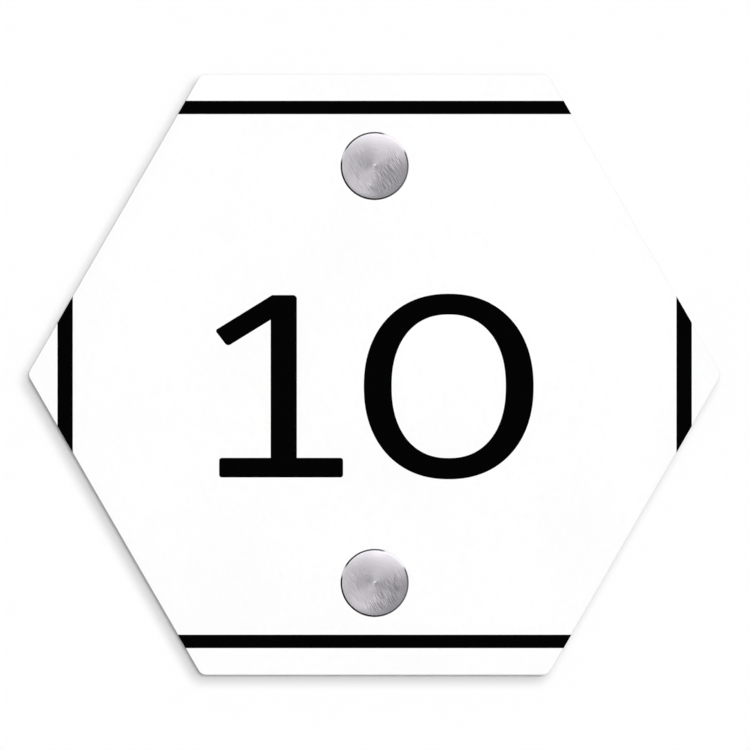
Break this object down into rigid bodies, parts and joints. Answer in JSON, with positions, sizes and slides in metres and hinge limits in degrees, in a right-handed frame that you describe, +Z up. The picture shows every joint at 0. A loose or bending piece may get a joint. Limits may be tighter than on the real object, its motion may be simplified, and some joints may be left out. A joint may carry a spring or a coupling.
{
  "type": "door number plate",
  "caption": "Flat hexagonal door number plate with rounded corners, held off the wall by turned metal stand-offs with bevelled caps, soft washers and countersunk wall screws.",
  "frame": {"origin": "midway between the two stand-offs, in the plane of the wall that the barrels stand on", "axes": "+Z up, +X to the right for someone reading the plate, +Y into the wall, so the face looks towards -Y"},
  "size_m": [0.1622, 0.0456, 0.141],
  "materials": {
    "plate_acrylic": "white cast acrylic sheet, smooth face and sawn, flamed edge",
    "print_black": "black printed ink, slightly satin",
    "cap_steel": "turned face with fine circular lines, bright bevel",
    "barrel_steel": "turned, fine lines round the barrel",
    "washer_nylon": "milky soft plastic",
    "screw_steel": "zinc-plated steel"
  },
  "bodies": {
    "root": {"plate": "plate_acrylic", "upper_cap": "cap_steel", "lower_cap": "cap_steel", "upper_front_washer": "washer_nylon", "lower_front_washer": "washer_nylon", "upper_rear_washer": "washer_nylon", "lower_rear_washer": "washer_nylon", "upper_barrel": "barrel_steel", "lower_barrel": "barrel_steel", "wall_screws": "screw_steel"}
  },
  "joints": []
}
